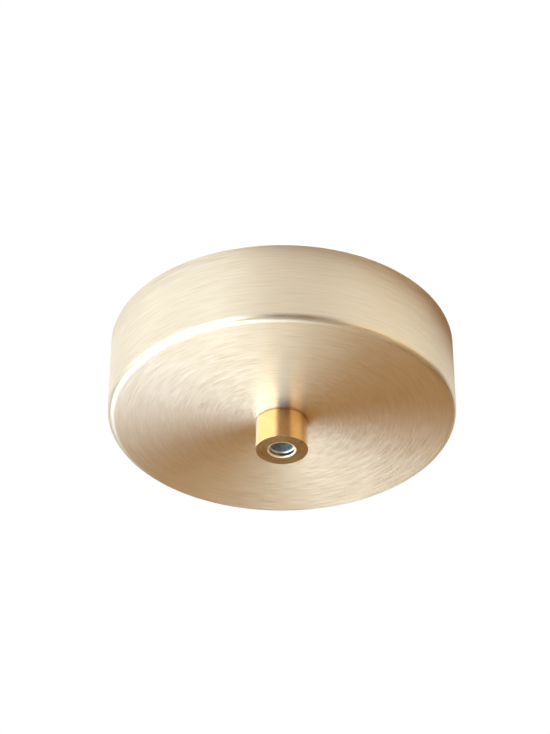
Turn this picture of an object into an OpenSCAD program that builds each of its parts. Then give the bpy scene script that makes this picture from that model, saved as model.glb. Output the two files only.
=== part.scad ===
// Ceiling canopy for a pendant light: a brass cup held up to a fixing bar by a
// collar that screws onto a hollow threaded tube. Millimetres, +Z up.
// Z = 0 is the ceiling plane, where the cup's rim and the bar's feet lie.
// The tube's axis is the Z axis, and the bar runs along X.

/* [Cup] */
// Outside diameter of the cup
cup_d = 120; // [110:5:160]
// Height of the cup from the ceiling to its flat face
cup_h = 30; // [25:1:40]
// Sheet thickness of the cup
cup_wall = 1; // [0.8:0.1:1.5]
// Outside radius of the pressed corner between wall and face
cup_corner_r = 2.5; // [2:0.5:8]
// Edge break on the cup's rim
rim_break = 0.25; // [0.1:0.05:0.35]
// Radial clearance between the tube and the cup's hole
cup_hole_gap = 0.3; // [0.25:0.05:0.8]

/* [Collar] */
// Outside diameter of the collar
collar_d = 18; // [15:0.5:24]
// Height of the collar
collar_h = 11.5; // [8:0.5:20]
// Turned bevel on the collar's lower outside edge
collar_bevel = 0.35; // [0.1:0.05:0.8]
// Turned bevel on the collar's upper outside edge, against the cup
collar_top_bevel = 0.2; // [0.1:0.05:0.5]
// Thickness of the lip that covers the end of the tube
lip_t = 1.2; // [0.8:0.1:3]
// Radial clearance that the mouth leaves outside the tube's bore
mouth_gap = 0.3; // [0.1:0.05:0.45]
// Bevel on the edge of the mouth
mouth_bevel = 0.45; // [0.1:0.05:0.7]
// Lead-in bevel at the top of the collar's thread
lead_in = 0.5; // [0.2:0.1:1]

/* [Threaded tube] */
// Outside diameter of the tube's thread
tube_d = 10; // [9.5:0.5:11]
// Diameter of the cable bore through the tube
tube_bore_d = 8; // [6:0.5:8]
// Bevel at both ends of the tube, inside and out
tube_bevel = 0.4; // [0.1:0.1:0.5]
// Gap between the tube's lower end and the collar's lip
tube_end_gap = 0.3; // [0.1:0.1:2]
// Length of thread that stands above the top nut
tube_above_nut = 3; // [2:0.5:3.5]
// Radial clearance between the tube and what is screwed or pushed onto it
thread_gap = 0.05; // [0.02:0.01:0.08]

/* [Fixing bar] */
// Width of the bar
bar_w = 22; // [18:1:26]
// Sheet thickness of the bar
bar_t = 1.5; // [1:0.1:2.5]
// Inside radius of the bends
bend_r = 1.5; // [1:0.25:2.5]
// Slope of the shoulders from level
shoulder_slope = 60; // [45:5:75]
// Gap between the bar's ends and the inside of the cup's wall
bar_end_gap = 5.5; // [4:0.5:10]
// Radius of the bar's corners
bar_corner_r = 3; // [1:0.5:6]
// Width of the ceiling screw slots
slot_w = 4.5; // [4:0.5:6]
// Length of the ceiling screw slots, end to end
slot_l = 12; // [8:1:16]
// Metal between a slot and the end of the bar
slot_edge = 2.5; // [2:0.5:5]
// Flat metal between a slot and the bend
slot_inner_edge = 0.5; // [0.2:0.1:2]

/* [Nuts and washer] */
// Width across flats of both nuts
nut_af = 14; // [13:1:17]
// Thickness of both nuts
nut_h = 3; // [2:0.5:4]
// Outside diameter of the toothed washer
washer_d = 15.5; // [15:0.5:20]
// Thickness of the toothed washer
washer_t = 0.8; // [0.5:0.1:1.5]
// Number of teeth on the washer
washer_teeth = 10; // [6:1:14]
// Length of the washer's teeth
tooth_l = 1.1; // [0.6:0.1:1.5]

/* [End bush] */
// Wall of the bush round the tube
bush_wall = 1.2; // [0.8:0.1:2]
// Thickness of the bush over the tube's end
bush_top_t = 1; // [0.6:0.1:1.5]
// Gap between the bush and the top nut
bush_nut_gap = 0.2; // [0.1:0.1:1]

/* [Earth terminal] */
// Distance of the earth screw from the tube's axis
earth_x = 18; // [17:0.5:20]
// Thread diameter of the earth screw
earth_d = 4; // [3:0.5:5]
// Diameter of the earth screw's head
earth_head_d = 8; // [7:0.5:9]
// Height of the earth screw's head
earth_head_h = 2.6; // [2:0.2:3.4]
// Length of the earth screw under its head
earth_l = 6; // [5.5:0.5:9]
// Side of the square clamp washer
clamp_side = 9; // [8:0.5:10]
// Sheet thickness of the clamp washer
clamp_t = 0.8; // [0.5:0.1:1.2]
// Height of the wire space under the clamp washer
clamp_space = 1.2; // [0.8:0.1:2]
// Height of the drawn collar that holds the earth screw's thread
drawn_h = 1.5; // [1:0.1:2.5]
// Wall of the drawn collar
drawn_wall = 0.8; // [0.5:0.1:1.2]

/* [Terminal block] */
// Distance between neighbouring poles
pole_pitch = 9; // [9:0.5:11]
// Width of each of the three poles
pole_w = 8; // [7:0.25:8.5]
// Gap between the block and the nearest corner of the nut
block_gap = 3.5; // [2:0.5:4]
// Depth of the barrels' axes from the block's base
barrel_depth = 4.3; // [3.6:0.1:5]
// Outside diameter of the brass barrels
barrel_d = 4.5; // [4:0.1:4.8]
// Length of the brass barrels
barrel_l = 15; // [14.5:0.5:18]
// Depth of the barrels' ends inside the wire mouths
barrel_recess = 1; // [0.5:0.1:2]
// Diameter of the wire hole in the barrels
wire_d = 3; // [2:0.1:3.2]
// Overall height of the block to the top of its screw towers
block_h = 13; // [12:0.5:14]
// Gap between the screw towers and the cup's face
block_floor_gap = 2; // [0.5:0.5:4]
// Outside diameter of the screw towers at their top
tower_d = 6; // [5.5:0.1:6.2]
// Extra diameter of the screw towers at their foot
tower_taper = 0.4; // [0:0.1:0.5]
// Distance of a terminal screw from the end of its barrel
screw_end = 2.9; // [2.6:0.1:3]
// Thread diameter of the terminal screws
screw_d = 3; // [2.5:0.1:3.2]
// Length of the terminal screws
screw_l = 5.2; // [4:0.1:5.6]
// Radial clearance of a driver in the screw towers
driver_gap = 0.25; // [0.1:0.05:0.4]
// Radial clearance of the barrels in the block
barrel_gap = 0.05; // [0.03:0.01:0.1]
// Bevel on the wire mouths
wire_bevel = 0.6; // [0.2:0.1:0.8]
// Diameter of the bosses round the two fixing holes
boss_d = 6.2; // [5.6:0.1:6.6]
// Thread diameter of the block's fixing screws
fixing_d = 3; // [2.5:0.1:3.2]
// Diameter of the fixing screws' heads
fixing_head_d = 5.4; // [5:0.1:5.6]
// Height of the fixing screws' heads
fixing_head_h = 1.9; // [1.5:0.1:2.4]
// Radial clearance of the fixing screws in the block
fixing_gap = 0.15; // [0.1:0.05:0.2]
// Length of fixing screw that stands above the bar
fixing_above_bar = 1; // [0.5:0.5:3]

/* [Hidden] */
$fn = 96;
// Overshoot of a cutting tool past the surface that it opens
over = 1;
// Steps along each bend of the bar
bend_steps = 8;

// Radii and heights on the axis
cup_r = cup_d / 2;
tube_r = tube_d / 2;
bore_r = tube_bore_d / 2;
thread_r = tube_r + thread_gap;
mouth_r = bore_r + mouth_gap;
collar_r = collar_d / 2;
corner_in_r = cup_corner_r - cup_wall;
collar_base = -cup_h - collar_h;
tube_base = collar_base + lip_t + tube_end_gap;
bar_under = cup_wall + block_floor_gap + block_h - cup_h;
bar_drop = -bar_under - bar_t;
nut_top = nut_h - bar_drop;
tube_top = nut_top + tube_above_nut;
tube_edge = min(tube_bevel, 0.4 * (tube_r - bore_r));
washer_under = bar_under - washer_t;
nut_corner_r = nut_af / 2 / cos(30);

// The bar's plan and profile
bar_half = cup_r - cup_wall - bar_end_gap;
slot_x = bar_half - slot_edge - slot_l / 2;
foot_start = bar_half - slot_edge - slot_l - slot_inner_edge;
bend_mid_r = bend_r + bar_t / 2;
bend_rise = bend_mid_r * (1 - cos(shoulder_slope));
bend_run = bend_mid_r * sin(shoulder_slope);
shoulder_l = (bar_drop - 2 * bend_rise) / sin(shoulder_slope);
platform_half = foot_start - 2 * bend_run - shoulder_l * cos(shoulder_slope);

// The terminal block hangs from the platform's underside
pole_l = barrel_l + 2 * barrel_recess;
screw_pitch = barrel_l - 2 * screw_end;
block_x = nut_corner_r + block_gap + pole_l / 2;
pole_r = pole_w / 2;
barrel_z = bar_under - barrel_depth;
boss_h = barrel_depth + pole_r;
barrel_hole_r = barrel_d / 2 + barrel_gap;
driver_r = screw_d / 2 + driver_gap;
// Wall of barrel that the end of a terminal screw leaves free
screw_tip_gap = 0.2;

// Round disc profile with a rounded far corner, for rotate_extrude
module disc_profile(r, h, corner) {
    square([r - corner, h]);
    square([r, h - corner]);
    translate([r - corner, h - corner]) circle(corner);
}

// Rectangle centred on the origin, with round corners
module round_rect(l, w, corner) {
    square([l - 2 * corner, w], center = true);
    square([l, w - 2 * corner], center = true);
    for (sx = [-1, 1], sy = [-1, 1])
        translate([sx * (l / 2 - corner), sy * (w / 2 - corner)]) circle(corner);
}

// Slot centred on the origin, along X
module slot_shape(l, w) {
    square([l - w, w], center = true);
    for (sx = [-1, 1]) translate([sx * (l - w) / 2, 0]) circle(w / 2);
}

// Points of an arc in X and Z, from one angle to another
function arc_points(x, z, r, from, to) = [
    for (i = [0 : bend_steps])
        let (angle = from + (to - from) * i / bend_steps)
            [x + r * cos(angle), z + r * sin(angle)]
];

// The same outline on the other side of the axis, in the opposite order
function other_side(points) = [
    for (i = [len(points) - 1 : -1 : 0]) [-points[i][0], points[i][1]]
];

// Hexagon nut with bevelled corners, standing on z = 0
module thin_nut() {
    corner_cut = nut_corner_r - nut_af / 2;
    bevel = corner_cut * tan(30);
    difference() {
        intersection() {
            cylinder(r = nut_corner_r, h = nut_h, $fn = 6);
            rotate_extrude() polygon([[0, 0], [nut_af / 2, 0], [nut_corner_r, bevel],
                [nut_corner_r, nut_h - bevel], [nut_af / 2, nut_h], [0, nut_h]]);
        }
        translate([0, 0, -over]) cylinder(r = thread_r, h = nut_h + 2 * over);
    }
}

// Pan head on z = 0, rising, with a crossed driver recess
module pan_head(d, h) {
    recess_l = 0.56 * d;
    recess_w = 0.14 * d;
    recess_h = 0.55 * h;
    difference() {
        rotate_extrude() disc_profile(d / 2, h, 0.42 * h);
        for (turn = [0, 90]) rotate(turn)
            translate([-recess_l / 2, -recess_w / 2, h - recess_h]) cube([recess_l, recess_w, recess_h + over]);
    }
}

module canopy_cup() color("#dcc7a3") difference() {
    rotate_extrude() difference() {
        mirror([0, 1]) difference() {
            disc_profile(cup_r, cup_h, cup_corner_r);
            translate([0, -over]) disc_profile(cup_r - cup_wall, cup_h - cup_wall + over, corner_in_r);
        }
        polygon([[cup_r - rim_break, over], [cup_r - rim_break, 0], [cup_r, -rim_break],
            [cup_r + over, -rim_break], [cup_r + over, over]]);
    }
    translate([0, 0, -cup_h - over]) cylinder(r = tube_r + cup_hole_gap, h = cup_wall + 2 * over);
}

module collar() color("#c89650") translate([0, 0, collar_base]) rotate_extrude() polygon([
    [mouth_r, mouth_bevel], [mouth_r + mouth_bevel, 0],
    [collar_r - collar_bevel, 0], [collar_r, collar_bevel],
    [collar_r, collar_h - collar_top_bevel], [collar_r - collar_top_bevel, collar_h],
    [thread_r + lead_in, collar_h], [thread_r, collar_h - lead_in],
    [thread_r, lip_t], [mouth_r, lip_t]
]);

module threaded_tube() color("#b9bec4") rotate_extrude() polygon([
    [bore_r, tube_base + tube_edge], [bore_r + tube_edge, tube_base],
    [tube_r - tube_edge, tube_base], [tube_r, tube_base + tube_edge],
    [tube_r, tube_top - tube_edge], [tube_r - tube_edge, tube_top],
    [bore_r + tube_edge, tube_top], [bore_r, tube_top - tube_edge]
]);

// The bar's profile in X and Z: platform, two bends, shoulder and foot on each side
module bar_profile() {
    low_z = bend_mid_r - bar_drop - bar_t / 2;
    high_z = -bar_t / 2 - bend_mid_r;
    top = concat(
        arc_points(platform_half, low_z, bend_r, -90, shoulder_slope - 90),
        arc_points(foot_start, high_z, bend_r + bar_t, 90 + shoulder_slope, 90),
        [[bar_half, 0]]
    );
    bottom = concat(
        [[bar_half, -bar_t]],
        arc_points(foot_start, high_z, bend_r, 90, 90 + shoulder_slope),
        arc_points(platform_half, low_z, bend_r + bar_t, shoulder_slope - 90, -90)
    );
    polygon(concat(top, bottom, other_side(bottom), other_side(top)));
}

module ceiling_bar() color("#b4b9be") difference() {
    union() {
        intersection() {
            rotate([90, 0, 0]) linear_extrude(bar_w, center = true) bar_profile();
            translate([0, 0, bar_under - over]) linear_extrude(bar_drop + bar_t + 2 * over)
                round_rect(2 * bar_half, bar_w, bar_corner_r);
        }
        translate([-earth_x, 0, -bar_drop - bar_t / 2])
            cylinder(d = earth_d + 2 * drawn_wall, h = drawn_h + bar_t / 2);
    }
    for (side = [-1, 1]) translate([side * slot_x, 0, -bar_t - over])
        linear_extrude(bar_t + 2 * over) slot_shape(slot_l, slot_w);
    translate([0, 0, bar_under - over]) {
        cylinder(r = thread_r, h = bar_t + 2 * over);
        translate([-earth_x, 0, 0]) cylinder(r = earth_d / 2 + thread_gap, h = bar_t + drawn_h + 2 * over);
        for (side = [-1, 1]) translate([block_x, side * pole_pitch / 2, 0])
            cylinder(r = fixing_d / 2 + thread_gap, h = bar_t + 2 * over);
    }
}

module top_nut() color("#c3c6c9") translate([0, 0, -bar_drop]) thin_nut();

module bottom_nut() color("#c3c6c9") translate([0, 0, washer_under - nut_h]) thin_nut();

// Flat ring with teeth on its inside, cut apart by notches
module toothed_washer() color("#a9adb1") translate([0, 0, washer_under]) linear_extrude(washer_t) difference() {
    circle(washer_d / 2);
    circle(thread_r);
    for (i = [0 : washer_teeth - 1]) rotate(360 * i / washer_teeth)
        translate([0, -PI * thread_r / washer_teeth / 2])
            square([thread_r + tooth_l, PI * thread_r / washer_teeth]);
}

// Nylon cap that keeps the tube's upper end from cutting the wires
module end_bush() color("#eeece6") {
    edge = 0.3 * bush_top_t;
    outer_r = thread_r + bush_wall;
    base = nut_top + bush_nut_gap;
    top = tube_top + bush_top_t;
    rotate_extrude() polygon([
        [thread_r, base], [outer_r, base], [outer_r, top - edge], [outer_r - edge, top],
        [mouth_r + edge, top], [mouth_r, top - edge], [mouth_r, tube_top], [thread_r, tube_top]
    ]);
}

module earth_screw() color("#c9a35f") translate([-earth_x, 0, bar_under - clamp_space - clamp_t]) {
    mirror([0, 0, 1]) pan_head(earth_head_d, earth_head_h);
    cylinder(d = earth_d, h = earth_l);
}

// Square clamp washer with two turned-up lips that keep the wire in
module earth_clamp() color("#b9bec4") translate([-earth_x, 0, bar_under - clamp_space - clamp_t]) difference() {
    rotate([90, 0, 0]) linear_extrude(clamp_side, center = true) difference() {
        translate([-clamp_side / 2, 0]) square([clamp_side, clamp_t + clamp_space]);
        translate([clamp_t - clamp_side / 2, clamp_t]) square([clamp_side - 2 * clamp_t, clamp_space + over]);
    }
    translate([0, 0, -over]) cylinder(r = earth_d / 2 + fixing_gap, h = clamp_t + 2 * over);
}

// Places its children under the bar with their base on the platform's underside
module under_bar() translate([block_x, 0, bar_under]) mirror([0, 0, 1]) children();

// One pole: an arched body along X with two tapered screw towers
module pole() {
    rotate([90, 0, 90]) linear_extrude(pole_l, center = true) union() {
        translate([-pole_r, 0]) square([pole_w, barrel_depth]);
        translate([0, barrel_depth]) circle(pole_r);
    }
    for (side = [-1, 1]) translate([side * screw_pitch / 2, 0, barrel_depth])
        cylinder(d1 = tower_d + tower_taper, d2 = tower_d, h = block_h - barrel_depth);
}

// Holes of one pole: barrel, two bevelled wire mouths and two screw shafts
module pole_holes() {
    translate([0, 0, barrel_depth]) rotate([0, 90, 0])
        cylinder(r = barrel_hole_r, h = pole_l + 2 * over, center = true);
    for (side = [-1, 1]) {
        translate([side * pole_l / 2, 0, barrel_depth]) rotate([0, -90 * side, 0])
            cylinder(r1 = barrel_hole_r + wire_bevel, r2 = barrel_hole_r, h = wire_bevel);
        translate([side * screw_pitch / 2, 0, barrel_depth]) cylinder(r = driver_r, h = block_h);
    }
}

module terminal_block() color("#efede4") under_bar() difference() {
    union() {
        for (i = [-1 : 1]) translate([0, i * pole_pitch, 0]) pole();
        translate([0, 0, barrel_depth / 2])
            cube([boss_d, 2 * pole_pitch, barrel_depth], center = true);
        for (side = [-1, 1]) translate([0, side * pole_pitch / 2, 0]) cylinder(d = boss_d, h = boss_h);
    }
    for (i = [-1 : 1]) translate([0, i * pole_pitch, 0]) pole_holes();
    for (side = [-1, 1]) translate([0, side * pole_pitch / 2, -over])
        cylinder(r = fixing_d / 2 + fixing_gap, h = boss_h + 2 * over);
}

// Brass barrel of pole 1 to 3, with a wire hole and two tapped screw holes
module terminal_barrel(pole) color("#c8a452") translate([block_x, (pole - 2) * pole_pitch, barrel_z]) difference() {
    rotate([0, 90, 0]) cylinder(d = barrel_d, h = barrel_l, center = true);
    rotate([0, 90, 0]) cylinder(d = wire_d, h = barrel_l + 2 * over, center = true);
    for (side = [-1, 1]) translate([side * screw_pitch / 2, 0, -barrel_d])
        cylinder(r = screw_d / 2 + thread_gap, h = barrel_d);
}

// Slotted terminal screw 1 to 6: two to each pole
module terminal_screw(number) color("#c3c6c9") {
    pole = ceil(number / 2);
    side = number % 2 == 1 ? -1 : 1;
    slot_cut = [2 * screw_d, 0.2 * screw_d, 0.3 * screw_d];
    tip = barrel_z - wire_d / 2 - screw_tip_gap;
    translate([block_x + side * screw_pitch / 2, (pole - 2) * pole_pitch, tip]) mirror([0, 0, 1]) difference() {
        cylinder(d = screw_d, h = screw_l);
        translate([-screw_d, -slot_cut[1] / 2, screw_l - slot_cut[2]]) cube(slot_cut + [0, 0, over]);
    }
}

// Fixing screw 1 or 2 of the terminal block, up through the boss into the bar
module block_screw(number) color("#c3c6c9") translate([block_x, (number - 1.5) * pole_pitch, bar_under - boss_h]) {
    mirror([0, 0, 1]) pan_head(fixing_head_d, fixing_head_h);
    cylinder(d = fixing_d, h = boss_h + bar_t + fixing_above_bar);
}

canopy_cup();
collar();
threaded_tube();
ceiling_bar();
top_nut();
toothed_washer();
bottom_nut();
end_bush();
earth_screw();
earth_clamp();
terminal_block();
for (i = [1 : 3])
    terminal_barrel(i);
for (i = [1 : 6])
    terminal_screw(i);
for (i = [1 : 2])
    block_screw(i);
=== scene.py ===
"""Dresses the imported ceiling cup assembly: brushed cup, polished collar, threaded tube and inner fittings.

Lengths are in metres in the part's frame: the origin is on the tube's axis in the ceiling plane, +Z is up,
the fixing bar lies along X and the front is towards -Y.
"""

import logging
import math
from collections import Counter
from dataclasses import dataclass
from enum import Enum
from typing import Callable, Union

import bpy
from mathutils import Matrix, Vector


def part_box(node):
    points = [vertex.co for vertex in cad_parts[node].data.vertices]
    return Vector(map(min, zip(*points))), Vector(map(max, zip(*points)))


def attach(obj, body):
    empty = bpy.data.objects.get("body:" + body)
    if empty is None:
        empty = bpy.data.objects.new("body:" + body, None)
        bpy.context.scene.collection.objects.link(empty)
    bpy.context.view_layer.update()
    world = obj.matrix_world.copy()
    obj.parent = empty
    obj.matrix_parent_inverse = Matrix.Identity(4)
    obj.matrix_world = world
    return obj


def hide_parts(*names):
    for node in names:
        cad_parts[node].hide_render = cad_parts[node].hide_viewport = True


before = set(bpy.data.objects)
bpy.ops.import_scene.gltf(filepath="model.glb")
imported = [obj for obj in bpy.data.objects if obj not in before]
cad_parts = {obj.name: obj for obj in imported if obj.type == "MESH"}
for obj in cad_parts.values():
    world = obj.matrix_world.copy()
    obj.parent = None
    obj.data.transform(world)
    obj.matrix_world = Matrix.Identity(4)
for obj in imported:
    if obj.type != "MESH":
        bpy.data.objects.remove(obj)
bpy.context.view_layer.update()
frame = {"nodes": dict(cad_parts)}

log = logging.getLogger("ceiling_cup")

Number = Union[float, bpy.types.NodeSocket]
Colour = tuple[float, float, float]
Span = tuple[float, float]

MM = 0.001

# Points nearer to each other than this are merged.
MERGE_GAP = 0.002 * MM
# A face looks straight up or down when the Z of its normal is past this, and nearly so past the second.
STRAIGHT = 0.9999
NEARLY_STRAIGHT = 0.999
# An edge is level when the Z of its direction is under this.
LEVEL = 0.01
# How much the larger faces count in the weighted normals.
FACE_WEIGHT = 80
# Turns a finish's grain along the tangent, as a share of a whole turn.
GRAIN_TURN = 0.25
# The Mix node's sockets for colours: the share, the two colours and the result.
MIX_SHARE, MIX_FIRST, MIX_SECOND, MIX_RESULT = 0, 6, 7, 2


class Pick(Enum):
    """What an edit-mode selection picks, as Blender's flags for vertices, edges and faces."""

    VERTS = (True, False, False)
    EDGES = (False, True, False)
    FACES = (False, False, True)


class Finish(Enum):
    """The finishes, by the names of their materials."""

    BRUSHED_BRASS = "brushed_brass"
    DRAWN_BRASS = "drawn_brass_inside"
    POLISHED_BRASS = "polished_brass"
    TURNED_END = "turned_brass_end"
    BURNISHED_MOUTH = "burnished_mouth"
    BRASS_SCREW = "brass_screw"
    TERMINAL_BRASS = "terminal_brass"
    ZINC_PLATE = "zinc_plate"
    ZINC_TURNED = "zinc_turned"
    ZINC_SCREW = "zinc_screw"
    BRIGHT_CUT = "bright_cut"
    ZINC_BORE = "zinc_bore"
    SPRING_STEEL = "spring_steel"
    WHITE_NYLON = "white_nylon"


# Modelling helpers


def deselect_all() -> None:
    """Leaves object mode with nothing selected."""
    if bpy.context.mode != "OBJECT":
        bpy.ops.object.mode_set(mode="OBJECT")
    bpy.ops.object.select_all(action="DESELECT")


def make_active(piece: bpy.types.Object) -> None:
    """Selects one object alone and makes it the active one.

    Args:
        piece: the object that the next operators work on.
    """
    deselect_all()
    piece.select_set(True)
    bpy.context.view_layer.objects.active = piece


def named(name: str) -> bpy.types.Object:
    """Names the primitive that was just added, and its mesh.

    Args:
        name: the piece's name.

    Returns:
        The new object, which is active.
    """
    piece = bpy.context.active_object
    piece.name = piece.data.name = name
    return piece


def pick(piece: bpy.types.Object, kind: Pick, test: Callable[[Vector, Vector], bool]) -> int:
    """Selects in edit mode what passes a test, and leaves edit mode on.

    Args:
        piece: the active mesh object.
        kind: whether vertices, edges or faces are picked.
        test: takes the middle and the normal of an item; an edge's normal is its direction.

    Returns:
        How many items were picked.
    """
    bpy.ops.object.mode_set(mode="OBJECT")
    mesh = piece.data
    for items in (mesh.vertices, mesh.edges, mesh.polygons):
        items.foreach_set("select", [False] * len(items))
    found = 0
    if kind is Pick.VERTS:
        for v in mesh.vertices:
            v.select = test(v.co, v.normal)
            found += v.select
    elif kind is Pick.EDGES:
        for e in mesh.edges:
            a, b = (mesh.vertices[i].co for i in e.vertices)
            e.select = test((a + b) / 2, (b - a).normalized())
            found += e.select
    else:
        for f in mesh.polygons:
            f.select = test(f.center, f.normal)
            found += f.select
    bpy.context.tool_settings.mesh_select_mode = kind.value
    bpy.ops.object.mode_set(mode="EDIT")
    return found


def pick_rim(piece: bpy.types.Object, test: Callable[[Vector], bool]) -> None:
    """Selects the edges that only one face uses, and leaves edit mode on.

    Args:
        piece: the active mesh object.
        test: takes the middle of an edge.
    """
    bpy.ops.object.mode_set(mode="OBJECT")
    uses = Counter(key for face in piece.data.polygons for key in face.edge_keys)
    points = piece.data.vertices
    rims = [sum((points[i].co for i in key), Vector()) / 2 for key, count in uses.items() if count == 1]
    rims = {tuple(mid) for mid in rims if test(mid)}
    pick(piece, Pick.EDGES, lambda mid, _: tuple(mid) in rims)


def radius_of(point: Vector) -> float:
    """A point's distance from the tube's axis."""
    return math.hypot(point.x, point.y)


def near(a: float, b: float, slack: float = 0.02 * MM) -> bool:
    """True if two lengths agree within the slack."""
    return abs(a - b) < slack


def looks_up(_: Vector, normal: Vector) -> bool:
    """True for a face that looks straight up."""
    return normal.z > STRAIGHT


def looks_down(_: Vector, normal: Vector) -> bool:
    """True for a face that looks straight down."""
    return normal.z < -STRAIGHT


def is_level(way: Vector) -> bool:
    """True for the direction of a level edge."""
    return abs(way.z) < LEVEL


def add_modifier(piece: bpy.types.Object, kind: str, **settings: object) -> None:
    """Adds a modifier to the active piece with the given settings, and applies it.

    Args:
        piece: the piece, already active and in object mode.
        kind: the modifier's type name.
        settings: its properties by name.
    """
    modifier = piece.modifiers.new(kind.lower(), kind)
    for key, value in settings.items():
        setattr(modifier, key, value)
    bpy.ops.object.modifier_apply(modifier=modifier.name)


def smooth(piece: bpy.types.Object, degrees: float = 32.0) -> None:
    """Shades a piece smooth up to an angle, with flat faces keeping their own normals.

    Args:
        piece: the mesh object.
        degrees: edges sharper than this stay sharp.
    """
    make_active(piece)
    bpy.ops.object.shade_smooth_by_angle(angle=math.radians(degrees))
    add_modifier(piece, "WEIGHTED_NORMAL", keep_sharp=True, weight=FACE_WEIGHT)


def outwards(piece: bpy.types.Object) -> None:
    """Merges doubles and turns every face outwards.

    Args:
        piece: the mesh object.
    """
    make_active(piece)
    bpy.ops.object.mode_set(mode="EDIT")
    bpy.ops.mesh.select_all(action="SELECT")
    bpy.ops.mesh.remove_doubles(threshold=MERGE_GAP)
    bpy.ops.mesh.normals_make_consistent(inside=False)
    bpy.ops.object.mode_set(mode="OBJECT")


def settle(piece: bpy.types.Object) -> None:
    """Applies the object's place, turn and scale to its mesh."""
    make_active(piece)
    bpy.ops.object.transform_apply(location=True, rotation=True, scale=True)


def widen(radius_from: float, radius_to: float) -> None:
    """Scales what is selected across the axis, from one radius to another."""
    ratio = radius_to / radius_from
    bpy.ops.transform.resize(value=(ratio, ratio, 1.0), center_override=(0, 0, 0))


def extrude_up(height: float) -> None:
    """Extrudes the selected faces along Z."""
    bpy.ops.mesh.extrude_region_move(TRANSFORM_OT_translate={"value": (0, 0, height)})


def report(piece: bpy.types.Object) -> None:
    """Logs a finished piece with its number of faces."""
    log.info("%s: %d faces", piece.name, len(piece.data.polygons))


# Finishes


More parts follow.
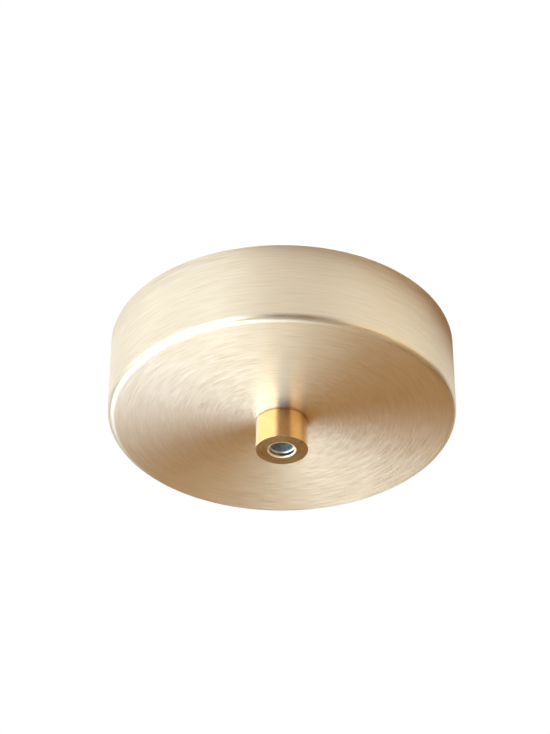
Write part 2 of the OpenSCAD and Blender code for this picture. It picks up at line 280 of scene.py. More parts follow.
class NodePad:
    """A material's node tree, with short calls to add and join nodes."""

    def __init__(self, name: str) -> None:
        """Makes a new material with one Principled shader.

        Args:
            name: the material's name.
        """
        self.material = bpy.data.materials.new(name)
        self.material.use_nodes = True
        self.tree = self.material.node_tree
        self.shader = self.tree.nodes["Principled BSDF"]
        self._object: bpy.types.NodeSocket | None = None

    def add(self, kind: str, **settings: object) -> bpy.types.Node:
        """Adds a node and sets its properties.

        Args:
            kind: the node's type name without the ShaderNode start.
            settings: its properties by name.

        Returns:
            The node.
        """
        node = self.tree.nodes.new("ShaderNode" + kind)
        for key, value in settings.items():
            setattr(node, key, value)
        return node

    def put(self, value: object, socket: bpy.types.NodeSocket) -> None:
        """Joins a socket to an input, or sets a plain value on it."""
        if isinstance(value, bpy.types.NodeSocket):
            self.tree.links.new(value, socket)
        else:
            socket.default_value = value

    def math(self, operation: str, *values: Number) -> bpy.types.NodeSocket:
        """A Math node.

        Args:
            operation: the operation's name.
            values: its inputs, as numbers or sockets.

        Returns:
            Its result.
        """
        node = self.add("Math", operation=operation)
        for socket, value in zip(node.inputs, values):
            self.put(value, socket)
        return node.outputs[0]

    def vector(self, operation: str, *values: object) -> bpy.types.Node:
        """A Vector Math node.

        Args:
            operation: the operation's name.
            values: its vector inputs.

        Returns:
            The node.
        """
        node = self.add("VectorMath", operation=operation)
        for socket, value in zip(node.inputs, values):
            self.put(value, socket)
        return node

    def combine(self, x: Number, y: Number, z: Number) -> bpy.types.NodeSocket:
        """A vector from three numbers or sockets."""
        node = self.add("CombineXYZ")
        for socket, value in zip(node.inputs, (x, y, z)):
            self.put(value, socket)
        return node.outputs[0]

    def place(self) -> bpy.types.NodeSocket:
        """The Object coordinates."""
        if self._object is None:
            self._object = self.add("TexCoord").outputs["Object"]
        return self._object

    def noise(self, vector: bpy.types.NodeSocket, scale: float, detail: float = 2.0) -> bpy.types.NodeSocket:
        """A noise pattern from 0 to 1.

        Args:
            vector: where it is read.
            scale: its scale.
            detail: its detail.

        Returns:
            Its value.
        """
        node = self.add("TexNoise")
        self.put(vector, node.inputs["Vector"])
        self.put(scale, node.inputs["Scale"])
        self.put(detail, node.inputs["Detail"])
        return node.outputs["Fac"]

    def between(self, value: bpy.types.NodeSocket, low: float, high: float,
                first: float = 0.0, last: float = 1.0) -> bpy.types.NodeSocket:
        """Maps a value from first-last onto low-high, held at the ends.

        Args:
            value: what is mapped.
            low: the result at first.
            high: the result at last.
            first: the value that gives low.
            last: the value that gives high.

        Returns:
            The mapped value.
        """
        node = self.add("MapRange")
        for socket, setting in zip(node.inputs, (value, first, last, low, high)):
            self.put(setting, socket)
        return node.outputs[0]

    def blend(self, share: bpy.types.NodeSocket, first: Colour, second: Colour) -> bpy.types.NodeSocket:
        """A colour between two, by a share from 0 to 1.

        Args:
            share: how much of the second colour there is.
            first: the colour at 0.
            second: the colour at 1.

        Returns:
            The mixed colour.
        """
        node = self.add("Mix", data_type="RGBA")
        self.put(share, node.inputs[MIX_SHARE])
        self.put((*first, 1.0), node.inputs[MIX_FIRST])
        self.put((*second, 1.0), node.inputs[MIX_SECOND])
        return node.outputs[MIX_RESULT]

    def tint(self, pattern: bpy.types.NodeSocket, span: Span, first: Colour,
             second: Colour) -> bpy.types.NodeSocket:
        """A colour that goes from one to another while a pattern crosses a span.

        Args:
            pattern: the pattern, from 0 to 1.
            span: where the first colour ends and where the second is reached.
            first: the colour below the span.
            second: the colour above it.

        Returns:
            The colour.
        """
        return self.blend(self.between(pattern, 0.0, 1.0, *span), first, second)

    def uneven(self, pattern: bpy.types.NodeSocket, middle: float, band: Span,
               span: Span = (0.3, 0.7)) -> bpy.types.NodeSocket:
        """A roughness that follows a pattern.

        Args:
            pattern: the pattern, from 0 to 1.
            middle: the finish's roughness.
            band: how far it goes below and above.
            span: the part of the pattern over which it goes from the least to the most.

        Returns:
            The roughness.
        """
        return self.between(pattern, middle - band[0], middle + band[1], *span)

    def weigh(self, first: bpy.types.NodeSocket, first_share: float, second: bpy.types.NodeSocket,
              second_share: float) -> bpy.types.NodeSocket:
        """The sum of two patterns, each times its share."""
        return self.math("MULTIPLY_ADD", first, first_share, self.math("MULTIPLY", second, second_share))

    def around(self) -> tuple[bpy.types.NodeSocket, bpy.types.NodeSocket, bpy.types.NodeSocket]:
        """Coordinates for a turned part.

        Returns:
            The distance along its profile (radius less height), and the two parts of the direction from
            its axis.
        """
        split = self.add("SeparateXYZ")
        self.put(self.place(), split.inputs[0])
        flat = self.combine(split.outputs[0], split.outputs[1], 0.0)
        radius = self.vector("LENGTH", flat).outputs["Value"]
        away = self.add("SeparateXYZ")
        self.put(self.vector("NORMALIZE", flat).outputs[0], away.inputs[0])
        return self.math("SUBTRACT", radius, split.outputs[2]), away.outputs[0], away.outputs[1]

    def rings(self, per_metre: float, wander: float, detail: float = 2.0) -> bpy.types.NodeSocket:
        """Fine lines that run round a turned part.

        Args:
            per_metre: how many noise cells there are in a metre of profile.
            wander: how fast a line changes as it goes round.
            detail: the noise's detail.

        Returns:
            A value from 0 to 1.
        """
        along, away_x, away_y = self.around()
        spot = self.combine(self.math("MULTIPLY", along, per_metre),
                            self.math("MULTIPLY", away_x, wander),
                            self.math("MULTIPLY", away_y, wander))
        return self.noise(spot, 1.0, detail)

    def bump(self, height: bpy.types.NodeSocket, strength: float, distance: float) -> None:
        """Roughens the shader's normal with a height pattern.

        Args:
            height: the pattern, from 0 to 1.
            strength: the Bump node's strength.
            distance: how high 1 stands, in metres.
        """
        node = self.add("Bump")
        self.put(strength, node.inputs["Strength"])
        self.put(distance, node.inputs["Distance"])
        self.put(height, node.inputs["Height"])
        self.put(node.outputs[0], self.shader.inputs["Normal"])

    def grain_along_rings(self) -> None:
        """Points the shader's tangent round the Z axis."""
        turn = self.vector("CROSS_PRODUCT", (0.0, 0.0, 1.0), self.place())
        world = self.add("VectorTransform", vector_type="VECTOR", convert_from="OBJECT", convert_to="WORLD")
        self.put(self.vector("NORMALIZE", turn.outputs[0]).outputs[0], world.inputs[0])
        self.put(world.outputs[0], self.shader.inputs["Tangent"])

    def set(self, **values: object) -> None:
        """Sets values or sockets on the shader's inputs, with an underscore for each space in a name."""
        for key, value in values.items():
            self.put(value, self.shader.inputs[key.replace("_", " ")])


@dataclass(frozen=True)
class BrushedBrass:
    """Pale brass with fine and broader lines brushed round the axis."""

    name: Finish = Finish.BRUSHED_BRASS
    light: Colour = (0.90, 0.775, 0.565)
    deep: Colour = (0.81, 0.675, 0.46)
    tint_span: Span = (0.34, 0.62)
    roughness: float = 0.385
    rough_band: Span = (0.04, 0.05)
    anisotropy: float = 0.86
    fine_per_metre: float = 3600.0
    fine_wander: float = 6.0
    fine_share: float = 0.7
    broad_per_metre: float = 1500.0
    broad_wander: float = 2.5
    broad_share: float = 0.3
    line_height: float = 0.013 * MM
    line_strength: float = 0.5

    def make(self) -> bpy.types.Material:
        """Makes the material.

        Returns:
            The material.
        """
        pad = NodePad(self.name.value)
        broad = pad.rings(self.broad_per_metre, self.broad_wander)
        fine = pad.rings(self.fine_per_metre, self.fine_wander, detail=1.0)
        lines = pad.weigh(fine, self.fine_share, broad, self.broad_share)
        pad.set(Base_Color=pad.tint(lines, self.tint_span, self.deep, self.light), Metallic=1.0,
                Anisotropic=self.anisotropy, Anisotropic_Rotation=GRAIN_TURN,
                Roughness=pad.uneven(fine, self.roughness, self.rough_band))
        pad.grain_along_rings()
        pad.bump(lines, self.line_strength, self.line_height)
        return pad.material


@dataclass(frozen=True)
class TurnedBrass:
    """Brass as it leaves the lathe, polished or not, bare or lacquered."""

    name: Finish
    light: Colour = (0.88, 0.545, 0.23)
    deep: Colour = (0.83, 0.49, 0.18)
    tint_span: Span = (0.35, 0.65)
    cloud_scale: float = 260.0
    roughness: float = 0.12
    rough_band: Span = (0.02, 0.05)
    anisotropy: float = 0.35
    per_metre: float = 9000.0
    wander: float = 0.8
    line_height: float = 0.0015 * MM
    line_strength: float = 0.4
    lacquer: float = 0.0
    lacquer_roughness: float = 0.08

    def make(self) -> bpy.types.Material:
        """Makes the material.

        Returns:
            The material.
        """
        pad = NodePad(self.name.value)
        lines = pad.rings(self.per_metre, self.wander, detail=1.0)
        cloud = pad.noise(pad.place(), self.cloud_scale, 3.0)
        pad.set(Base_Color=pad.tint(cloud, self.tint_span, self.light, self.deep), Metallic=1.0,
                Anisotropic=self.anisotropy, Anisotropic_Rotation=GRAIN_TURN,
                Coat_Weight=self.lacquer, Coat_Roughness=self.lacquer_roughness,
                Roughness=pad.uneven(lines, self.roughness, self.rough_band))
        pad.grain_along_rings()
        pad.bump(lines, self.line_strength, self.line_height)
        return pad.material


@dataclass(frozen=True)
class DrawnBrass:
    """The unbrushed inside of a pressed brass cup, dull and a little stained."""

    name: Finish = Finish.DRAWN_BRASS
    clean: Colour = (0.74, 0.58, 0.33)
    stained: Colour = (0.56, 0.41, 0.21)
    tint_span: Span = (0.38, 0.66)
    roughness: float = 0.42
    rough_band: Span = (0.06, 0.12)
    rough_span: Span = (0.35, 0.65)
    cloud_scale: float = 70.0
    cloud_share: float = 0.6
    scuffs_per_metre: float = 500.0
    scuff_wander: float = 14.0
    scuff_share: float = 0.4
    scuff_height: float = 0.01 * MM
    scuff_strength: float = 0.35

    def make(self) -> bpy.types.Material:
        """Makes the material.

        Returns:
            The material.
        """
        pad = NodePad(self.name.value)
        cloud = pad.noise(pad.place(), self.cloud_scale, 5.0)
        scuffs = pad.rings(self.scuffs_per_metre, self.scuff_wander, detail=4.0)
        marks = pad.weigh(scuffs, self.scuff_share, cloud, self.cloud_share)
        pad.set(Base_Color=pad.tint(marks, self.tint_span, self.clean, self.stained), Metallic=1.0,
                Roughness=pad.uneven(marks, self.roughness, self.rough_band, self.rough_span))
        pad.bump(scuffs, self.scuff_strength, self.scuff_height)
        return pad.material


@dataclass(frozen=True)
class ZincPlate:
    """Bright zinc plating with the faint cloudy tint that its passivation leaves."""

    name: Finish
    silver: Colour = (0.66, 0.68, 0.70)
    tinted: Colour = (0.60, 0.60, 0.56)
    tint_span: Span = (0.38, 0.64)
    roughness: float = 0.30
    rough_band: Span = (0.06, 0.08)
    grain: float = 240.0
    speckle_ratio: float = 14.0
    speckle_height: float = 0.004 * MM
    speckle_strength: float = 0.3
    metallic: float = 1.0

    def make(self) -> bpy.types.Material:
        """Makes the material.

        Returns:
            The material.
        """
        pad = NodePad(self.name.value)
        cloud = pad.noise(pad.place(), self.grain, 4.0)
        speckle = pad.noise(pad.place(), self.grain * self.speckle_ratio, 2.0)
        pad.set(Base_Color=pad.tint(cloud, self.tint_span, self.silver, self.tinted), Metallic=self.metallic,
                Roughness=pad.uneven(speckle, self.roughness, self.rough_band))
        pad.bump(speckle, self.speckle_strength, self.speckle_height)
        return pad.material


@dataclass(frozen=True)
class Nylon:
    """Moulded nylon, slightly translucent and faintly uneven."""

    name: Finish = Finish.WHITE_NYLON
    body: Colour = (0.83, 0.81, 0.74)
    shade: Colour = (0.78, 0.755, 0.68)
    tint_span: Span = (0.35, 0.65)
    cloud_scale: float = 120.0
    roughness: float = 0.42
    rough_band: Span = (0.05, 0.08)
    translucence: float = 0.25
    scatter: Colour = (1.0, 0.8, 0.6)
    scatter_depth: float = 0.6 * MM
    grain_scale: float = 2600.0
    grain_height: float = 0.008 * MM
    grain_strength: float = 0.25

    def make(self) -> bpy.types.Material:
        """Makes the material.

        Returns:
            The material.
        """
        pad = NodePad(self.name.value)
        cloud = pad.noise(pad.place(), self.cloud_scale, 3.0)
        grain = pad.noise(pad.place(), self.grain_scale, 2.0)
        pad.set(Base_Color=pad.tint(cloud, self.tint_span, self.body, self.shade),
                Roughness=pad.uneven(grain, self.roughness, self.rough_band),
                Subsurface_Weight=self.translucence, Subsurface_Radius=self.scatter,
                Subsurface_Scale=self.scatter_depth)
        pad.bump(grain, self.grain_strength, self.grain_height)
        return pad.material


# The cup and what clamps it


@dataclass
class CeilingCup:
    """The round pressed cup: a wall, a rounded corner and a flat face with a hole for the tube."""

    radius: float
    height: float
    wall: float = 1.0 * MM
    corner_r: float = 2.5 * MM
    rim_break: float = 0.2 * MM
    hole_r: float = 5.3 * MM
    segments: int = 288
    corner_steps: int = 14
    corner_margin: float = 0.5 * MM
    ring_shares: Span = (0.66, 0.33)
    hole_margin: float = 0.6 * MM
    rim_steps: int = 3
    rim_angle: float = 60.0
    skin_share: float = 0.6

    def build(self) -> bpy.types.Object:
        """Models the cup from a cylinder: the corner is bevelled, the face is inset to the hole and the skin
        gets its wall.

        Returns:
            The cup.
        """
        deselect_all()
        bpy.ops.mesh.primitive_cylinder_add(
            vertices=self.segments, radius=self.radius, depth=self.height, end_fill_type="NGON",
            location=(0, 0, -self.height / 2))
        cup = named("cup_dressed")
        settle(cup)
        pick(cup, Pick.EDGES, lambda mid, _: near(mid.z, -self.height))
        bpy.ops.mesh.bevel(offset=self.corner_r, segments=self.corner_steps, profile=0.5, affect="EDGES")
        pick(cup, Pick.FACES, looks_down)
        reach = self.radius - self.corner_r
        rings = (reach - self.corner_margin, *(reach * share for share in self.ring_shares),
                 self.hole_r + self.hole_margin, self.hole_r)
        for ring_r in rings:
            bpy.ops.mesh.inset(thickness=reach - ring_r, depth=0.0)
            reach = ring_r
        bpy.ops.mesh.delete(type="FACE")
        pick(cup, Pick.FACES, looks_up)
        bpy.ops.mesh.delete(type="FACE")
        outwards(cup)
        add_modifier(cup, "SOLIDIFY", thickness=self.wall, offset=-1.0, use_even_offset=True)
        add_modifier(cup, "BEVEL", width=self.rim_break, segments=self.rim_steps, limit_method="ANGLE",
                     angle_limit=math.radians(self.rim_angle))
        smooth(cup)
        return cup

    def dress(self, cup: bpy.types.Object, outside: bpy.types.Material, inside: bpy.types.Material) -> None:
        """Gives the outside its brushed finish and the inside its drawn one.

        Args:
            cup: the cup's object.
            outside: the finish of the wall, corner and face.
            inside: the finish of what faces the ceiling and the axis.
        """
        cup.data.materials.append(outside)
        cup.data.materials.append(inside)
        skin = self.wall * self.skin_share
        for face in cup.data.polygons:
            deep = radius_of(face.center) < self.radius - skin and face.center.z > -self.height + skin
            face.material_index = int(deep)
        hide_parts("canopy_cup")
        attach(cup, "cup")


@dataclass
class ClampCollar:
    """The turned collar that screws onto the tube and holds the cup up."""

    radius: float
    low: float
    high: float
    lower_bevel: float = 0.2 * MM
    shoulder_bevel: float = 0.125 * MM
    bevel_steps: int = 3
    relief: float = 0.8 * MM
    relief_height: float = 0.5 * MM
    lip: float = 1.2 * MM
    mouth_r: float = 4.3 * MM
    mouth_round: float = 0.7 * MM
    mouth_round_depth: float = 0.45 * MM
    round_steps: int = 6
    bore_r: float = 5.05 * MM
    lead_in: float = 0.5 * MM
    segments: int = 160
    ring_slack: float = 0.05 * MM
    sharp_from: float = 24.0

    def build(self) -> bpy.types.Object:
        """Models the collar from a cylinder: its upper end is inset to a short relief, and its lower face to
        the rounded mouth, which is drawn up as the stepped bore.

        Returns:
            The collar.
        """
        deselect_all()
        length = self.high - self.low
        shoulder = self.high - self.relief_height
        bpy.ops.mesh.primitive_cylinder_add(
            vertices=self.segments, radius=self.radius, depth=shoulder - self.low, end_fill_type="NGON",
            location=(0, 0, (self.low + shoulder) / 2))
        collar = named("collar_dressed")
        settle(collar)
        pick(collar, Pick.FACES, looks_up)
        bpy.ops.mesh.inset(thickness=self.relief, depth=0.0)
        extrude_up(self.relief_height)
        bpy.ops.mesh.delete(type="FACE")
        pick(collar, Pick.FACES, looks_down)
        bpy.ops.mesh.inset(thickness=self.radius - self.mouth_r - self.mouth_round, depth=0.0)
        edge_r, edge_z = self.mouth_r + self.mouth_round, 0.0
        for step in range(1, self.round_steps + 1):
            turn = math.pi / 2 * step / self.round_steps
            next_r = self.mouth_r + self.mouth_round * (1 - math.sin(turn))
            next_z = self.mouth_round_depth * (1 - math.cos(turn))
            extrude_up(next_z - edge_z)
            widen(edge_r, next_r)
            edge_r, edge_z = next_r, next_z
        extrude_up(self.lip - self.mouth_round_depth)
        extrude_up(0.0)
        widen(self.mouth_r, self.bore_r)
        extrude_up(length - self.lip - self.lead_in)
        extrude_up(self.lead_in)
        widen(self.bore_r, self.bore_r + self.lead_in)
        bpy.ops.mesh.delete(type="FACE")
        pick(collar, Pick.EDGES, lambda mid, way: near(mid.z, self.high) and is_level(way))
        bpy.ops.mesh.bridge_edge_loops()
        self._bevel_ring(collar, self.low, self.lower_bevel)
        self._bevel_ring(collar, shoulder, self.shoulder_bevel)
        outwards(collar)
        smooth(collar, self.sharp_from)
        return collar

    def _bevel_ring(self, collar: bpy.types.Object, level: float, size: float) -> None:
        """Bevels the outer edge at one level.

        Args:
            collar: the collar's object.
            level: the edge's height.
            size: the bevel's size.
        """
        pick(collar, Pick.EDGES, lambda mid, way: near(mid.z, level) and is_level(way)
             and near(radius_of(mid), self.radius, self.ring_slack))
        bpy.ops.mesh.bevel(offset=size, segments=self.bevel_steps, profile=0.5, affect="EDGES")
        bpy.ops.object.mode_set(mode="OBJECT")

    def dress(self, collar: bpy.types.Object, finish: bpy.types.Material, shaded_end_finish: bpy.types.Material,
              mouth_highlight_finish: bpy.types.Material) -> None:
        """Gives the collar its finishes and its place in the frame.

        Args:
            collar: the collar's object.
            finish: the polished brass of the side and the bevels.
            shaded_end_finish: the turned brass of the flat lower end, a darker copy of the collar's brass
                that is painted shade.
            mouth_highlight_finish: the paler, rougher brass of the rounded mouth, a painted highlight that
                keeps the ring bright all round.
        """
        for part in (finish, shaded_end_finish, mouth_highlight_finish):
            collar.data.materials.append(part)
        for face in collar.data.polygons:
            # The rounded mouth gets paler, rougher brass: a painted highlight that keeps the ring bright all
            # round.
            in_mouth = radius_of(face.center) < self.mouth_r + self.mouth_round
            low = face.center.z < self.low + self.mouth_round_depth
            rounded = in_mouth and low and face.normal.z > -NEARLY_STRAIGHT
            # Faces that look straight down get the darker end brass, which is painted shade.
            face.material_index = 2 if rounded else int(face.normal.z < -NEARLY_STRAIGHT)
        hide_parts("collar")
        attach(collar, "collar")


@dataclass
class ThreadedTube:
    """The hollow tube with a fine thread along its whole length."""

    radius: float
    low: float
    high: float
    bore_r: float = 4.0 * MM
    end_bevel: float = 0.4 * MM
    bore_bevel: float = 0.4 * MM
    pitch: float = 1.0 * MM
    thread_depth: float = 0.55 * MM
    crest: float = 0.14 * MM
    crest_over: float = 0.02 * MM
    spare_turns: int = 2
    segments: int = 72
    ring_slack: float = 0.03 * MM
    sharp_from: float = 30.0
    bore_slack: float = 0.05 * MM
    cut_reach: float = 1.6

    def _blank(self) -> bpy.types.Object:
        """The plain tube with bevelled ends.

        Returns:
            The blank.
        """
        deselect_all()
        length = self.high - self.low
        bpy.ops.mesh.primitive_cylinder_add(
            vertices=self.segments * 2, radius=self.radius, depth=length, end_fill_type="NGON",
            location=(0, 0, (self.low + self.high) / 2))
        blank = named("tube_dressed")
        settle(blank)
        pick(blank, Pick.EDGES, lambda _, way: is_level(way))
        bpy.ops.mesh.bevel(offset=self.end_bevel, segments=1, affect="EDGES")
        pick(blank, Pick.FACES, lambda _, normal: abs(normal.z) > STRAIGHT)
        bpy.ops.mesh.inset(thickness=self.radius - self.end_bevel - self.bore_r, depth=0.0)
        bpy.ops.mesh.delete(type="FACE")
        self._pick_bore_rings(blank)
        bpy.ops.mesh.bridge_edge_loops()
        self._pick_bore_rings(blank)
        bpy.ops.mesh.bevel(offset=self.bore_bevel, segments=1, affect="EDGES")
        outwards(blank)
        return blank

    def _pick_bore_rings(self, blank: bpy.types.Object) -> None:
        """Selects the level edges at the bore's two ends."""
        pick(blank, Pick.EDGES, lambda mid, way: is_level(way)
             and near(radius_of(mid), self.bore_r, self.ring_slack))

    def _thread(self) -> bpy.types.Object:
        """A solid rod with the thread, longer than the tube at both ends.

        Returns:
            The rod.
        """
        deselect_all()
        turns = int((self.high - self.low) / self.pitch) + 2 * self.spare_turns
        start = self.low - self.spare_turns * self.pitch
        bpy.ops.mesh.primitive_plane_add(size=1.0, location=(0, 0, 0))
        rod = named("thread_rod")
        root_r = self.radius - self.thread_depth
        slope = (self.pitch - 2 * self.crest) / 2
        steps = (0.0, self.crest, self.crest + slope, 2 * self.crest + slope, self.pitch)
        crest_r = self.radius + self.crest_over
        radii = (root_r, root_r, crest_r, crest_r, root_r)
        profile = [(radius, start + step) for radius, step in zip(radii, steps)]
        pick(rod, Pick.VERTS, lambda mid, _: mid.x > 0)
        bpy.ops.mesh.delete(type="VERT")
        bpy.ops.object.mode_set(mode="OBJECT")
        first, last = rod.data.vertices
        first.co, last.co = (profile[0][0], 0, profile[0][1]), (profile[1][0], 0, profile[1][1])
        for radius, level in profile[2:]:
            here = rod.data.vertices[-1].co.copy()
            pick(rod, Pick.VERTS, lambda mid, _: (mid - here).length < MERGE_GAP / 2)
            move = (radius - here.x, 0, level - here.z)
            bpy.ops.mesh.extrude_region_move(TRANSFORM_OT_translate={"value": move})
            bpy.ops.object.mode_set(mode="OBJECT")
        make_active(rod)
        add_modifier(rod, "SCREW", axis="Z", angle=math.tau, screw_offset=self.pitch, iterations=turns,
                     steps=self.segments, render_steps=self.segments,
                     use_merge_vertices=True, merge_threshold=MERGE_GAP)
        outwards(rod)
        middle = (self.low + self.high) / 2
        for upper in (False, True):
            pick_rim(rod, lambda mid: (mid.z > middle) == upper)
            bpy.ops.mesh.extrude_edges_move()
            bpy.ops.mesh.merge(type="CENTER")
        outwards(rod)
        return rod

    def build(self) -> bpy.types.Object:
        """Models the tube as what the thread and the bevelled blank have in common.

        Returns:
            The tube.
        """
        rod = self._thread()
        blank = self._blank()
        make_active(blank)
        add_modifier(blank, "BOOLEAN", operation="INTERSECT", solver="EXACT", object=rod)
        bpy.data.objects.remove(rod)
        smooth(blank, self.sharp_from)
        return blank

    def dress(self, tube: bpy.types.Object, finish: bpy.types.Material, cut: bpy.types.Material,
              bore: bpy.types.Material) -> None:
        """Gives the tube its finishes and its place in the frame.

        Args:
            tube: the tube's object.
            finish: the zinc plate.
            cut: the bright metal of the cut ends.
            bore: the dull grey of the bore, whose dark colour is painted shade down the narrow tube.
        """
        tube.data.materials.clear()
        for part in (finish, cut, bore):
            tube.data.materials.append(part)
        for face in tube.data.polygons:
            end = min(face.center.z - self.low, self.high - face.center.z) < self.bore_bevel
            away = radius_of(face.center)
            # Faces inside the bore get the dark grey, which is painted shade on the zinc.
            inside = away < self.bore_r + self.bore_slack and not end
            cut_end = end and away < self.bore_r + self.bore_bevel * self.cut_reach
            face.material_index = 2 if inside else int(cut_end)
        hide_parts("threaded_tube")
        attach(tube, "bracket")


# The fittings inside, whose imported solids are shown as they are


@dataclass
class Fittings:
    """The bar, nuts, screws, clamp, bush and terminal block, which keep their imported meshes."""

    finishes: dict[Finish, tuple[str, ...]]

    def dress(self, nodes: dict[str, bpy.types.Object], library: dict[Finish, bpy.types.Material]) -> None:
        """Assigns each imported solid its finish.

        Args:
            nodes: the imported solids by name.
            library: the materials by finish.
        """
        for finish, names in self.finishes.items():
            for name in names:
                mesh = nodes[name].data
                mesh.materials.clear()
                mesh.materials.append(library[finish])
                log.info("%s wears %s", name, finish.value)


# The studio


@dataclass(frozen=True)
class Card:
    """A flat studio card that faces the object and shows only in its reflections."""

    name: str
    azimuth: float
    elevation: float
    distance: float
    width: float
    height: float
    colour: Colour
    feather: float = 0.35

    def place(self) -> bpy.types.Object:
        """Makes the card, with its edges fading out.

        Returns:
            The card.
        """
        deselect_all()
        bpy.ops.mesh.primitive_plane_add(size=1.0, location=(0, 0, 0))
        card = named(self.name)
        card.scale = (self.width, self.height, 1.0)
        turn, lift = math.radians(self.azimuth), math.radians(self.elevation)
        away = Vector((math.sin(turn) * math.cos(lift), -math.cos(turn) * math.cos(lift), math.sin(lift)))
        card.rotation_mode = "QUATERNION"
        card.rotation_quaternion = away.to_track_quat("-Z", "Y")
        card.location = away * self.distance
        settle(card)
        card.data.materials.append(self._finish())
        card.visible_camera = False
        card.visible_shadow = False
        return card

    def _finish(self) -> bpy.types.Material:
        """A plain glow that fades towards the card's edges.

        Returns:
            The material.
        """
        pad = NodePad(self.name)
        split = pad.add("SeparateXYZ")
        pad.put(pad.add("TexCoord").outputs["UV"], split.inputs[0])
        shares = []
        for axis in (0, 1):
            off = pad.math("ABSOLUTE", pad.math("SUBTRACT", split.outputs[axis], 0.5))
            step = pad.add("MapRange", interpolation_type="SMOOTHSTEP")
            for socket, value in zip(step.inputs, (off, 0.5, 0.5 - self.feather, 0.0, 1.0)):
                pad.put(value, socket)
            shares.append(step.outputs[0])
        glow, clear, mixed = pad.add("Emission"), pad.add("BsdfTransparent"), pad.add("MixShader")
        pad.put((*self.colour, 1.0), glow.inputs["Color"])
        pad.put(pad.math("MULTIPLY", *shares), mixed.inputs[0])
        pad.put(clear.outputs[0], mixed.inputs[1])
        pad.put(glow.outputs[0], mixed.inputs[2])
        pad.put(mixed.outputs[0], pad.tree.nodes["Material Output"].inputs["Surface"])
        pad.tree.nodes.remove(pad.shader)
        return pad.material


@dataclass(frozen=True)
class CeilingBoard:
    """The pale board round the cup's rim, glowing as a lit ceiling would, with the cup's soft shadow painted
    into its glow, which shows only in reflections.
    """

    inner_r: float = 60.5 * MM
    outer_r: float = 0.85
    level: float = 0.5 * MM
    pale: Colour = (0.96, 0.97, 1.0)
    shadow: Colour = (0.24, 0.11, 0.02)
    shadow_at: Span = (8.0 * MM, 2.0 * MM)
    shadow_r: float = 76.0 * MM
    shadow_core: float = 56.5 * MM
    segments: int = 96

    def place(self) -> bpy.types.Object:
        """Makes the board.

        Returns:
            The board.
        """
        deselect_all()
        bpy.ops.mesh.primitive_circle_add(vertices=self.segments, radius=self.inner_r,
                                          location=(0, 0, self.level))
        board = named("ceiling_board")
        settle(board)
        pick(board, Pick.EDGES, lambda *_: True)
        bpy.ops.mesh.extrude_edges_move()
        widen(self.inner_r, self.outer_r)
        bpy.ops.object.mode_set(mode="OBJECT")
        pad = NodePad("ceiling_board")
        # The glow fades to the shadow colour round an off-centre disc: a painted shadow of the cup.
        off = pad.vector("DISTANCE", pad.place(), (*self.shadow_at, self.level)).outputs["Value"]
        fade = pad.add("MapRange", interpolation_type="SMOOTHSTEP")
        for socket, value in zip(fade.inputs, (off, self.shadow_core, self.shadow_r, 0.0, 1.0)):
            pad.put(value, socket)
        glow = pad.add("Emission")
        pad.put(pad.blend(fade.outputs[0], self.shadow, self.pale), glow.inputs["Color"])
        pad.put(glow.outputs[0], pad.tree.nodes["Material Output"].inputs["Surface"])
        pad.tree.nodes.remove(pad.shader)
        board.data.materials.append(pad.material)
        board.visible_camera = board.visible_diffuse = False
        board.visible_shadow = board.visible_transmission = False
        return board


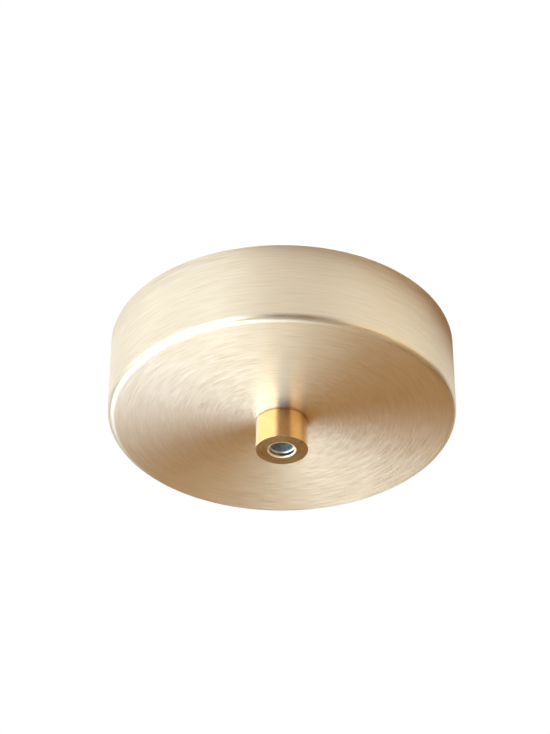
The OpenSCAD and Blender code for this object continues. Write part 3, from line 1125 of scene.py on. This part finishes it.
@dataclass
class Studio:
    """The floor, the surrounding, the cards, the ceiling board, the lamp and the camera."""

    cards: tuple[Card, ...]
    floor_level: float = -1.2
    floor_side: float = 8.0
    floor_colour: Colour = (0.80, 0.79, 0.77)
    floor_roughness: float = 0.8
    ambient: float = 0.75
    lamp_place: tuple[float, float, float] = (0.0, 0.3, 1.8)
    lamp_side: float = 1.2
    lamp_watts: float = 12.0
    view_elevation: float = 34.87
    view_distance: float = 738.2 * MM
    target_level: float = -15.0 * MM
    focal_px: float = 2120.0
    target_px: Span = (281.87, 386.31)
    image_px: tuple[int, int] = (550, 734)
    sensor: float = 36.0
    clip: Span = (0.05, 50.0)

    def floor(self) -> None:
        """Lays the pale floor."""
        deselect_all()
        bpy.ops.mesh.primitive_plane_add(size=self.floor_side, location=(0, 0, self.floor_level))
        ground = named("studio_floor")
        settle(ground)
        pad = NodePad("floor_paper")
        pad.set(Base_Color=(*self.floor_colour, 1.0), Roughness=self.floor_roughness)
        ground.data.materials.append(pad.material)

    def world(self) -> None:
        """Sets a white surrounding that the camera and the metal see at full strength."""
        world = bpy.data.worlds.new("studio_white")
        bpy.context.scene.world = world
        world.use_nodes = True
        tree = world.node_tree
        back = tree.nodes["Background"]
        back.inputs["Color"].default_value = (1.0, 1.0, 1.0, 1.0)
        rays = tree.nodes.new("ShaderNodeLightPath")
        seen = rays.outputs["Is Camera Ray"]
        for name in ("Is Glossy Ray", "Is Transmission Ray"):
            either = tree.nodes.new("ShaderNodeMath")
            either.operation = "MAXIMUM"
            tree.links.new(seen, either.inputs[0])
            tree.links.new(rays.outputs[name], either.inputs[1])
            seen = either.outputs[0]
        level = tree.nodes.new("ShaderNodeMapRange")
        level.inputs["To Min"].default_value = self.ambient
        level.inputs["To Max"].default_value = 1.0
        tree.links.new(seen, level.inputs["Value"])
        tree.links.new(level.outputs[0], back.inputs["Strength"])

    def lamp(self) -> None:
        """Hangs the square soft lamp above the object, pointing at it."""
        light = bpy.data.lights.new("soft_lamp_above", "AREA")
        light.shape, light.size, light.energy = "SQUARE", self.lamp_side, self.lamp_watts
        lamp = bpy.data.objects.new("soft_lamp_above", light)
        bpy.context.scene.collection.objects.link(lamp)
        lamp.location = self.lamp_place
        lamp.rotation_mode = "QUATERNION"
        lamp.rotation_quaternion = (-Vector(self.lamp_place)).to_track_quat("-Z", "Y")

    def camera(self) -> None:
        """Sets the camera below the cup, with the shift that puts the cup where the photograph has it."""
        lens = bpy.data.cameras.new("view_camera")
        width, height = self.image_px
        longer = max(width, height)
        lens.sensor_width = self.sensor
        lens.sensor_fit = "AUTO"
        lens.lens = self.focal_px / longer * self.sensor
        lens.shift_x = (width / 2 - self.target_px[0]) / longer
        lens.shift_y = (self.target_px[1] - height / 2) / longer
        lens.clip_start, lens.clip_end = self.clip
        camera = bpy.data.objects.new("view_camera", lens)
        bpy.context.scene.collection.objects.link(camera)
        lift = math.radians(self.view_elevation)
        camera.location = (0.0, -self.view_distance * math.cos(lift),
                           self.target_level - self.view_distance * math.sin(lift))
        camera.rotation_euler = (math.pi / 2 + lift, 0.0, 0.0)
        bpy.context.scene.camera = camera

    def build(self) -> None:
        """Builds the whole studio."""
        self.floor()
        self.world()
        for card in self.cards:
            card.place()
        CeilingBoard().place()
        self.lamp()
        self.camera()
        bpy.context.scene.view_settings.view_transform = "Standard"


STUDIO_CARDS = (
    Card("softbox_left_back", -127.0, -57.0, 1.00, 2.2, 2.1, (2.25, 2.75, 3.55), 0.12),
    Card("softbox_left_front", -66.0, -52.0, 1.02, 2.0, 2.1, (2.25, 2.75, 3.55), 0.14),
    Card("flag_left_high", -138.0, -8.0, 0.98, 1.6, 0.55, (0.06, 0.05, 0.04), 0.20),
    Card("flag_front_low", 9.0, -42.0, 0.90, 1.00, 1.90, (0.11, 0.030, 0.002), 0.22),
    Card("card_right", 75.0, -31.0, 0.94, 1.30, 1.05, (1.10, 0.95, 0.74), 0.14),
    Card("flag_right", 122.0, -43.0, 0.90, 1.15, 1.95, (0.13, 0.040, 0.003), 0.12),
    Card("flag_right_back", 163.0, -30.0, 0.50, 0.70, 0.62, (0.36, 0.19, 0.045), 0.12),
    Card("card_back_low", -165.0, -67.0, 0.85, 0.8, 0.65, (1.8, 1.95, 2.0), 0.30),
)

FITTING_FINISHES = {
    Finish.ZINC_PLATE: ("ceiling_bar", "earth_clamp"),
    Finish.ZINC_TURNED: ("top_nut", "bottom_nut"),
    Finish.SPRING_STEEL: ("toothed_washer",),
    Finish.WHITE_NYLON: ("end_bush", "terminal_block"),
    Finish.BRASS_SCREW: ("earth_screw",),
    Finish.TERMINAL_BRASS: tuple(f"terminal_barrel_{number}" for number in range(1, 4)),
    Finish.ZINC_SCREW: (*(f"terminal_screw_{number}" for number in range(1, 7)),
                        "block_screw_1", "block_screw_2"),
}


def finish_library() -> dict[Finish, bpy.types.Material]:
    """Makes every finish once.

    Returns:
        The materials by finish.
    """
    finishes = (
        BrushedBrass(),
        DrawnBrass(),
        TurnedBrass(Finish.POLISHED_BRASS, lacquer=1.0),
        # The end face's darker copy of the collar's brass is painted shade.
        TurnedBrass(Finish.TURNED_END, light=(0.58, 0.46, 0.28), deep=(0.46, 0.36, 0.205), roughness=0.24,
                    anisotropy=0.4, line_height=0.004 * MM, per_metre=5200.0),
        # The mouth's paler brass is a painted highlight.
        TurnedBrass(Finish.BURNISHED_MOUTH, light=(0.82, 0.66, 0.44), deep=(0.78, 0.62, 0.40),
                    roughness=0.50, anisotropy=0.0),
        TurnedBrass(Finish.BRASS_SCREW, light=(0.80, 0.62, 0.30), deep=(0.70, 0.52, 0.24),
                    roughness=0.26, anisotropy=0.0),
        TurnedBrass(Finish.TERMINAL_BRASS, light=(0.78, 0.60, 0.30), deep=(0.66, 0.49, 0.23),
                    roughness=0.30, anisotropy=0.0),
        ZincPlate(Finish.ZINC_PLATE, grain=120.0),
        ZincPlate(Finish.ZINC_TURNED, silver=(0.62, 0.64, 0.67), tinted=(0.58, 0.60, 0.60), roughness=0.26),
        ZincPlate(Finish.ZINC_SCREW, silver=(0.64, 0.66, 0.69), tinted=(0.57, 0.58, 0.58),
                  roughness=0.24, grain=400.0),
        ZincPlate(Finish.BRIGHT_CUT, silver=(0.74, 0.69, 0.60), tinted=(0.68, 0.63, 0.54),
                  roughness=0.48, grain=500.0),
        # The bore's dark grey is painted shade on the tube's zinc.
        ZincPlate(Finish.ZINC_BORE, silver=(0.34, 0.36, 0.30), tinted=(0.19, 0.205, 0.165),
                  roughness=0.62, grain=900.0, metallic=0.25),
        ZincPlate(Finish.SPRING_STEEL, silver=(0.42, 0.42, 0.43), tinted=(0.34, 0.33, 0.31), roughness=0.34),
        Nylon(),
    )
    return {finish.name: finish.make() for finish in finishes}


def main() -> None:
    """Builds each sub-assembly in order, then the studio."""
    logging.basicConfig(level=logging.INFO, format="%(message)s")
    library = finish_library()

    cup_low, cup_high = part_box("canopy_cup")
    cup = CeilingCup(radius=cup_high.x, height=-cup_low.z)
    shell = cup.build()
    cup.dress(shell, library[Finish.BRUSHED_BRASS], library[Finish.DRAWN_BRASS])
    report(shell)

    collar_low, collar_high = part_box("collar")
    clamp = ClampCollar(radius=collar_high.x, low=collar_low.z, high=collar_high.z)
    ring = clamp.build()
    clamp.dress(ring, library[Finish.POLISHED_BRASS], library[Finish.TURNED_END],
                library[Finish.BURNISHED_MOUTH])
    report(ring)

    tube_low, tube_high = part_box("threaded_tube")
    tube = ThreadedTube(radius=tube_high.x, low=tube_low.z, high=tube_high.z)
    pipe = tube.build()
    tube.dress(pipe, library[Finish.ZINC_TURNED], library[Finish.BRIGHT_CUT], library[Finish.ZINC_BORE])
    report(pipe)

    Fittings(FITTING_FINISHES).dress(frame["nodes"], library)
    Studio(STUDIO_CARDS).build()


if __name__ == "__main__":
    main()
